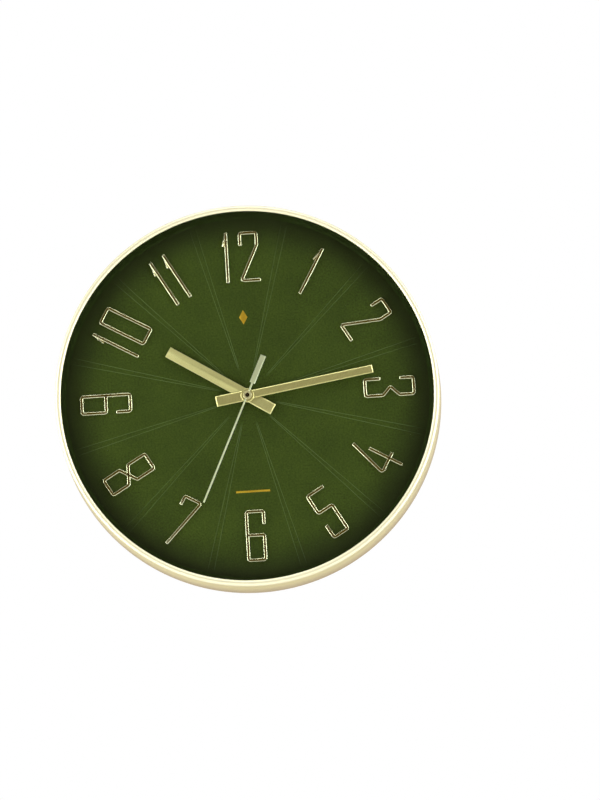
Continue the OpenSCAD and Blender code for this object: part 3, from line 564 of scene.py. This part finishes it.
def sweep(bm, points, half, height, flat, back, corner_r=1.7):
    """Runs a bar with a flat top and round sides along a plan path, with domed ends."""
    path, closed = rounded([Vector(p) for p in points], corner_r)
    section = bar_profile(half, height, flat)
    section += [(-x, h) for x, h in reversed(section)]
    stops = []
    for i, p in enumerate(path):
        before = (p - path[i - 1]) if (i or closed) else (path[1] - p)
        goes_on = closed or i < len(path) - 1
        after = (path[(i + 1) % len(path)] - p) if goes_on else (p - path[i - 1])
        stops.append((p, (before.normalized() + after.normalized()).normalized(), 1.0))
    if not closed:
        ends = [(0.5 * half * (1 - math.sin(a)), 1 - 0.5 * (1 - math.cos(a)))
                for a in (math.radians(a) for a in (90, 65, 45, 22, 0))]
        p, along, _ = stops[0]
        head = [(p + along * (step - half), along, share) for step, share in ends]
        p, along, _ = stops[-1]
        tail = [(p - along * (step - half), along, share) for step, share in reversed(ends)]
        stops = head + stops[1:-1] + tail
    dome_low, dome_rise = 0.35, 0.65
    rings = []
    for p, along, share in stops:
        left = Vector((-along.y, along.x))
        rings.append([bm.verts.new(stood(*(p + left * x * share),
                                         back + h * (dome_low + dome_rise * share)
                                         if h else back)) for x, h in section])
    count = len(rings) if closed else len(rings) - 1
    for i in range(count):
        near, far = rings[i], rings[(i + 1) % len(rings)]
        for j in range(len(section)):
            k = (j + 1) % len(section)
            bm.faces.new((near[j], near[k], far[k], far[j]))
    if not closed:
        bm.faces.new(rings[0])
        bm.faces.new(rings[-1])


# The flag of the 1 is a low plate with a slim bar along its outer edge.
flag_h, flag_edge, flag_drop = 0.6 * stroke_h, 0.15, 0.3
flag_bar_h, flag_bar_half, flag_bar_flat = 0.95 * stroke_h, 0.5, 0.15
flag_foot = 0.8
for hour in range(1, 13):
    tens, ones = divmod(hour, 10)
    tens_x, ones_x = PAIRED.get(hour, (0, 0))
    placed = [(ones, ones_x)] + ([(tens, tens_x)] if tens else [])
    turn = math.radians(-30 * hour)
    upside = -1 if 3 < hour < 9 else 1
    bm = bmesh.new()

    def on_dial(x, up):
        """A digit's point, turned to its hour and moved out to the circle of numerals."""
        x, up = upside * x, upside * up + numeral_r
        return (x * math.cos(turn) - up * math.sin(turn), x * math.sin(turn) + up * math.cos(turn))

    for digit, shift in placed:
        if digit == 1:
            tip, notch = digit_h / 2, digit_h / 4
            sweep(bm, [on_dial(shift, -tip), on_dial(shift, tip)], stroke_half, stroke_h, flat_half,
                  dial_front)
            tip += stroke_half
            flag = [on_dial(shift + x * stroke_half, up) for x, up in (
                (0.4, tip), (-0.5, tip), (-2.2, notch), (-2.0, notch - flag_foot),
                (-0.4, notch - flag_foot))]
            prism(bm, flag, dial_front, dial_front + flag_h, flag_edge, flag_drop)
            sweep(bm, [on_dial(shift - 0.3 * stroke_half, tip - 1),
                       on_dial(shift - 2.1 * stroke_half, notch)],
                  flag_bar_half, flag_bar_h, flag_bar_flat, dial_front)
            continue
        for line in DIGITS[digit]:
            points = [on_dial(shift + x * digit_w / 2, up * digit_h / 2) for x, up in line]
            sweep(bm, points, stroke_half, stroke_h, flat_half, dial_front)
    numeral = new_object(f"hour_{hour:02d}", bm, plated_zinc, crease=60)
    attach(numeral, "root")
    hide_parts(f"numeral_{hour:02d}")


# ---- Hands ----
# Stamped aluminium with bevelled edges, satin gold lacquer over fine brushing. The hour
# hand's blade is folded to a ridge, and the second hand's boss is a turned cup.
LACQUERS = {
    "hour": ("F2E7AC", "D6C884", 32.4),
    "minute": ("E6D89B", "C2B374", 81.5),
    "second": ("F8F8D6", "EAEBC4", 25.1),
}
bore_edge, boss_edge = (1.5, 1.75), (3.3, 3.5)
lacquered = {}
for name, (light, dark, turned) in LACQUERS.items():
    # Brushed aluminium under gold lacquer: brush lines that slant across the hand, drawn
    # 0.3 mm apart, coarser than life, so that they show, with a soft gloss over them.
    material, tree, shader = finish_of(f"satin_gold_aluminium_{name}", Metallic=0.8,
                                       Coat_Weight=0.2, Coat_Roughness=0.3)
    place = add(tree, "ShaderNodeTexCoord").outputs["Object"]
    turned_to = add(tree, "ShaderNodeMapping", {"Rotation": (0, math.radians(turned), 0)},
                    {"Vector": place})
    stretched = add(tree, "ShaderNodeMapping", {"Scale": (0.12, 1, 1)},
                    {"Vector": turned_to.outputs[0]})
    brush = add(tree, "ShaderNodeTexNoise", {"Scale": 1 / (0.3 * MM), "Detail": 3},
                {"Vector": stretched.outputs[0]})
    tint = add(tree, "ShaderNodeMix", {"data_type": "RGBA", 6: linear(dark), 7: linear(light)},
               {0: brush.outputs[0]})
    gloss = add(tree, "ShaderNodeMapRange", {"To Min": 0.26, "To Max": 0.4},
                {"Value": brush.outputs[0]})
    bump = add(tree, "ShaderNodeBump", {"Strength": 0.6, "Distance": 0.02 * MM},
               {"Height": brush.outputs[0]})
    # The boss is brass under a thinner lacquer, and inside its bore the colour is painted dark
    # brown as painted shade in the hole.
    flat_place = add(tree, "ShaderNodeVectorMath", {"operation": "MULTIPLY", 1: (1, 0, 1)},
                     {0: place})
    reach = add(tree, "ShaderNodeVectorMath", {"operation": "LENGTH"}, {0: flat_place.outputs[0]})
    painted_bore_shade, boss = [add(tree, "ShaderNodeMapRange", {"From Min": start * MM, "From Max": end * MM},
                      {"Value": reach.outputs["Value"]}) for start, end in (bore_edge, boss_edge)]
    ring = add(tree, "ShaderNodeMix", {"data_type": "RGBA", 6: linear("EBDCAE")},
               {0: boss.outputs[0], 7: tint.outputs[2]})
    # Painted shade: within 1.5 mm of the axis the hand is coloured dark brown.
    skin = add(tree, "ShaderNodeMix", {"data_type": "RGBA", 6: linear("3A2C16")},
               {0: painted_bore_shade.outputs[0], 7: ring.outputs[2]})
    join(tree, shader, skin.outputs[2], gloss.outputs[0], bump.outputs[0])
    lacquered[name] = material

HANDS = {
    "hour": dict(angle=302.4, length=70.5, tail=22.5, width=8.6, tail_width=8.6, tube_r=2.5),
    "minute": dict(angle=81.5, length=98.5, tail=24.5, width=6.1, tail_width=8.1, tube_r=1.75),
}
bevel_w, bevel_drop = 0.6, 0.3
blade_start = 1
fold_edge, ridge_half = 0.55, 0.12
hub_r, hub_edge, hub_drop = 5.3, 0.5, 0.3


def turned_by(angle, x, up):
    """A hand's point, drawn with the hand upright, turned clockwise to its place."""
    a = math.radians(-angle)
    return (x * math.cos(a) - up * math.sin(a), x * math.sin(a) + up * math.cos(a))


for name, size in HANDS.items():
    low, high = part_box(name + "_hand")
    back, front = -high.y / MM, -low.y / MM
    blade_front = front if name == "hour" else front - 0.2
    tail_front = front - 0.4 if name == "hour" else front - 0.2
    half, tail_half = size["width"] / 2, size["tail_width"] / 2
    bm = bmesh.new()
    if name == "hour":
        section = [(-half, back), (half, back), (half, back + fold_edge), (ridge_half, blade_front),
                   (-ridge_half, blade_front), (-half, back + fold_edge)]
        rings = [[bm.verts.new(stood(*turned_by(size["angle"], x, up), out)) for x, out in section]
                 for up in (blade_start, size["length"])]
        for j in range(len(section)):
            k = (j + 1) % len(section)
            bm.faces.new((rings[0][j], rings[0][k], rings[1][k], rings[1][j]))
        bm.faces.new(rings[0])
        bm.faces.new(rings[1])
        bmesh.ops.bevel(bm, geom=[e for e in bm.edges], offset=0.1 * MM, segments=2, profile=0.5,
                        affect="EDGES")
    else:
        corners = ((half, blade_start), (half, size["length"]), (-half, size["length"]),
                   (-half, blade_start))
        prism(bm, [turned_by(size["angle"], *p) for p in corners], back, blade_front, bevel_w,
              bevel_drop)
    corners = ((tail_half, -size["tail"]), (tail_half, 0), (-tail_half, 0),
               (-tail_half, -size["tail"]))
    prism(bm, [turned_by(size["angle"], *p) for p in corners], back, tail_front, bevel_w,
          bevel_drop)
    bore_r = size["tube_r"] + hair
    hub_front = tail_front + hair if name == "hour" else front
    lathe(bm, [(bore_r, back), (hub_r, back), (hub_r, hub_front - hub_drop),
               (hub_r - hub_edge, hub_front), (bore_r, hub_front)], steps=96)
    hand = new_object(name + "_hand_piece", bm, lacquered[name], crease=20)
    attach(hand, name)
    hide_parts(name + "_hand")

second_angle = 205.1
second_len, second_w, second_tail = 89.5, 1.3, 33
weight_len, weight_w = 23, 4.2
weight_rise = 0.1
needle_t, needle_edge, needle_drop = 0.4, 0.15, 0.12
boss_r, cup_r, pin_r = 3.3, 1.7, 0.52
boss_round, cup_round = 0.4, 0.2
low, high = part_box("second_hand")
back, front = -high.y / MM, -low.y / MM
needle_front = back + needle_t
bm = bmesh.new()
for half, end, top in ((second_w / 2, second_len, needle_front),
                       (weight_w / 2, weight_len - second_tail, needle_front + weight_rise)):
    corners = ((half, -second_tail), (half, end), (-half, end), (-half, -second_tail))
    prism(bm, [turned_by(second_angle, *p) for p in corners], back, top, needle_edge, needle_drop)
lathe(bm, [(pin_r, back), (boss_r, back)]
      + arc((boss_r - boss_round, front - boss_round), boss_round, 0, 90, 4)
      + arc((cup_r + cup_round, front - cup_round), cup_round, 90, 180, 3)
      + [(cup_r, needle_front), (pin_r, needle_front)], steps=96)
second_hand = new_object("second_hand_piece", bm, lacquered["second"], crease=30)
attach(second_hand, "second")
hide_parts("second_hand")


# ---- Fixing to the dial ----
# A brass washer and a hexagon nut clamp the dial between them and the movement, with a
# rubber washer behind the carrier. The hands hide them from the front.
def dress(material, *nodes, rounding=0.0):
    """Gives CAD nodes a material, and rounds their sharp edges by so many millimetres."""
    for node_name in nodes:
        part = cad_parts[node_name]
        for held in part.material_slots:
            held.material = material
        if rounding:
            weld = part.modifiers.new("weld", "WELD")
            weld.merge_threshold = 0.002 * MM
            soft = part.modifiers.new("edges", "BEVEL")
            soft.width = rounding * MM
            soft.segments = 2
            soft.limit_method = "ANGLE"
            soft.angle_limit = math.radians(40)
            soft.harden_normals = False


# Turned brass: warm yellow, with fine tool marks that scatter the gloss.
turned_brass = grained("turned_brass", "D8B562", "BF9748", 0.25, (0.22, 0.38), 0.012, Metallic=1)
dress(turned_brass, "brass_washer", "fixing_nut", "cannon_pinion")
# Nitrile rubber: dead matt black with a dusty bloom.
dress(grained("nitrile_rubber", "232323", "171717", 0.4, (0.8, 0.95), 0.04), "rubber_washer")


# ---- Carrier ----
# A ribbed disc of black polystyrene that the dial is glued to; it snaps in behind the nibs.
# Moulded with a fine spark-eroded texture, so it looks soft black, slightly grey at edges.
carrier_black = grained("spark_textured_polystyrene", "262727", "1C1D1D", 0.35, (0.5, 0.7), 0.03)
dress(carrier_black, "dial_carrier", rounding=0.25)


# ---- Movement housing ----
# Two halves of black ABS, clipped together, with a threaded post that passes the dial.
# ABS from a textured mould: black, a little glossier than the carrier, with faint clouds.
black_abs = grained("textured_black_abs", "202123", "161718", 0.3, (0.38, 0.58), 0.02,
                    IOR=1.54)
dress(black_abs, "movement_base", "movement_cover", rounding=0.3)
# Grey ABS for the knob, smoother where thumbs have rubbed its ridges.
dress(grained("rubbed_grey_abs", "9A9B9B", "848585", 0.5, (0.32, 0.5), 0.02), "setting_knob",
      rounding=0.15)


# ---- Gear train ----
# Wheels and pinions of acetal on moulded arbors, in a plate of grey ABS.
# Acetal: waxy ivory, slightly see-through, with a soft gloss and hardly any texture.
acetal = grained("moulded_acetal", "EDE8D6", "E0DAC5", 0.6, (0.25, 0.38), 0.006,
                 Subsurface_Weight=0.15, Subsurface_Scale=0.0008)
dress(acetal, "second_wheel", "third_wheel", "centre_wheel", "reduction_wheel", "hour_wheel",
      "intermediate_wheel", "rotor_pinion")
# Glass-filled ABS: light grey and matt, with pale fibres in the skin.
dress(grained("glass_filled_abs", "C9CAC8", "B2B4B2", 0.3, (0.5, 0.65), 0.02), "train_plate")


# ---- Motor ----
# A one-pole step motor: a ferrite rotor in a stamped stator, with a wound coil on its core.
# Ferrite: charcoal grey and grainy, like fine cast iron.
dress(grained("sintered_ferrite", "4A4C50", "36383B", 0.15, (0.5, 0.7), 0.02, Metallic=0.4),
      "rotor_magnet")
# Annealed nickel-iron sheet: bright grey with a rolled grain and burnt-straw patches.
dress(grained("annealed_nickel_iron", "B9B6AE", "9B978C", 0.6, (0.3, 0.5), 0.01, Metallic=1),
      "stator", "coil_core")
# Nylon: milky white with a soft gloss.
dress(grained("natural_nylon", "E4E4DF", "D6D6CF", 0.5, (0.3, 0.45), 0.008), "coil_bobbin")
# Enamelled copper: turns lie side by side round the coil; they are drawn 0.3 mm apart,
# coarser than the real wire, so that they show.
wire_step = 0.3
copper, tree, shader = finish_of("enamelled_copper_wire", Metallic=1, Coat_Weight=0.6,
                                 Coat_Roughness=0.15)
place = add(tree, "ShaderNodeTexCoord").outputs["Object"]
turns = add(tree, "ShaderNodeTexWave", {
    "bands_direction": "X", "Scale": 2 * math.pi / (20 * wire_step * MM), "Distortion": 0.3},
    {"Vector": place})
# Painted shade and highlight: each turn is coloured dark brown where it meets its neighbours and
# bright copper along its crown.
wire_turn_shading = add(tree, "ShaderNodeMix", {"data_type": "RGBA", 6: linear("7A3A1C"), 7: linear("D07E48")},
           {0: turns.outputs["Fac"]})
bump = add(tree, "ShaderNodeBump", {"Distance": 0.08 * MM}, {"Height": turns.outputs["Fac"]})
shader.inputs["Roughness"].default_value = 0.28
tree.links.new(wire_turn_shading.outputs[2], shader.inputs["Base Color"])
tree.links.new(bump.outputs[0], shader.inputs["Normal"])
dress(copper, "coil_winding")


# ---- Circuit and contacts ----
# A small board with the timing chip and crystal, and nickel-plated contacts for one cell.
# Solder mask over laminate: green, glossy, with copper runs glimmering through it.
dress(grained("solder_mask_green", "2C6B3A", "1D4F2A", 0.9, (0.2, 0.35), 0.02, Coat_Weight=0.4),
      "circuit_board")
# Nickel plate on spring steel and on the crystal's can: cool grey, bright and slightly wavy.
nickel = grained("nickel_plate", "CFCCC4", "B5B2A9", 0.5, (0.15, 0.28), 0.01, Metallic=1)
dress(nickel, "quartz_crystal", "contact_positive", "contact_negative")


# ---- Battery ----
# One AA cell: a steel can in a shrunk plastic sleeve that turns in over both ends, with a
# pressed nub. The sleeve is plain dark grey with a green band and carries no print.
cell_low, cell_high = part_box("battery")
cell_r = (cell_high.z - cell_low.z) / 2 / MM
cell_start, cell_nub = cell_low.x / MM, cell_high.x / MM
nub_h, nub_r = 1.3, 2.7
cell_end = cell_nub - nub_h
cell_up = (cell_high.z + cell_low.z) / 2 / MM
cell_out = -(cell_high.y + cell_low.y) / 2 / MM
# Shrink sleeve: smooth glossy plastic with a faint pull along it, dark grey, green near
# the nub; the band's edge is one step along the cell.
sleeve, tree, shader = finish_of("shrunk_pvc_sleeve", Coat_Weight=0.3, Coat_Roughness=0.1)
place = add(tree, "ShaderNodeTexCoord").outputs["Object"]
along = add(tree, "ShaderNodeSeparateXYZ", None, {0: place}).outputs["X"]
band = add(tree, "ShaderNodeMapRange", {"From Min": 8.9 * MM, "From Max": 9.1 * MM},
           {"Value": along})
pull = add(tree, "ShaderNodeMapping", {"Scale": (0.1, 1, 1)}, {"Vector": place})
streak = add(tree, "ShaderNodeTexNoise", {"Scale": 1 / (0.8 * MM), "Detail": 3},
             {"Vector": pull.outputs[0]})
grey = add(tree, "ShaderNodeMix", {"data_type": "RGBA", 6: linear("2E3033"), 7: linear("3B3E42")},
           {0: streak.outputs[0]})
body_colour = add(tree, "ShaderNodeMix", {"data_type": "RGBA", 7: linear("3F7F4A")},
                  {0: band.outputs[0], 6: grey.outputs[2]})
gloss = add(tree, "ShaderNodeMapRange", {"To Min": 0.2, "To Max": 0.35},
            {"Value": streak.outputs[0]})
bump = add(tree, "ShaderNodeBump", {"Distance": 0.02 * MM}, {"Height": streak.outputs[0]})
join(tree, shader, body_colour.outputs[2], gloss.outputs[0], bump.outputs[0])


def turn_along(bm, profile, up, out, steps=64):
    """Turns an open profile of place along x and radius about a line that runs along x."""
    rings = []
    for i in range(steps):
        a = 2 * math.pi * i / steps
        rings.append([bm.verts.new(stood(x, up + r * math.sin(a), out + r * math.cos(a)))
                      for x, r in profile])
    for i in range(steps):
        near, far = rings[i], rings[(i + 1) % steps]
        for j in range(len(profile) - 1):
            bm.faces.new((near[j], near[j + 1], far[j + 1], far[j]))


sleeve_round = 0.7
can_r = cell_r - 1.2
bm = bmesh.new()
turn_along(bm, [(cell_start + 0.25, cell_r - 1.8), (cell_start, cell_r - 1.6)]
           + [(cell_start + sleeve_round * (1 - math.sin(math.radians(a))),
               cell_r - sleeve_round * (1 - math.cos(math.radians(a)))) for a in (70, 45, 20, 0)]
           + [(cell_end - sleeve_round * (1 - math.sin(math.radians(a))),
               cell_r - sleeve_round * (1 - math.cos(math.radians(a)))) for a in (0, 20, 45, 70)]
           + [(cell_end, cell_r - 1.8), (cell_end - 0.25, cell_r - 2)], cell_up, cell_out)
cell_sleeve = new_object("cell_sleeve", bm, sleeve, crease=50)
bm = bmesh.new()
turn_along(bm, [(cell_start + 0.1, 0.001), (cell_start + 0.1, can_r)], cell_up, cell_out)
turn_along(bm, [(cell_end - 0.1, can_r), (cell_end - 0.1, nub_r + 1.2),
                (cell_end + 0.1, nub_r + 0.4), (cell_nub - 0.4, nub_r),
                (cell_nub - 0.1, nub_r - 0.15), (cell_nub, nub_r - 0.5), (cell_nub, 0.001)],
           cell_up, cell_out)
cell_ends = new_object("cell_ends", bm, nickel, crease=50)
for piece in (cell_sleeve, cell_ends):
    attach(piece, "root")
    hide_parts("battery")


# ---- Hanger ----
# A zinc-plated steel plate with a keyhole slot, on two black posts, held by two screws.
# Zinc plate: bluish grey, dull-bright, with the crystalline cloudiness of the plating.
zinc = grained("zinc_plated_steel", "C4C8CC", "A9AEB2", 0.7, (0.25, 0.42), 0.012, Metallic=1)
dress(zinc, "hanger_plate", "hanger_screws", rounding=0.2)
dress(carrier_black, "hanger_posts")
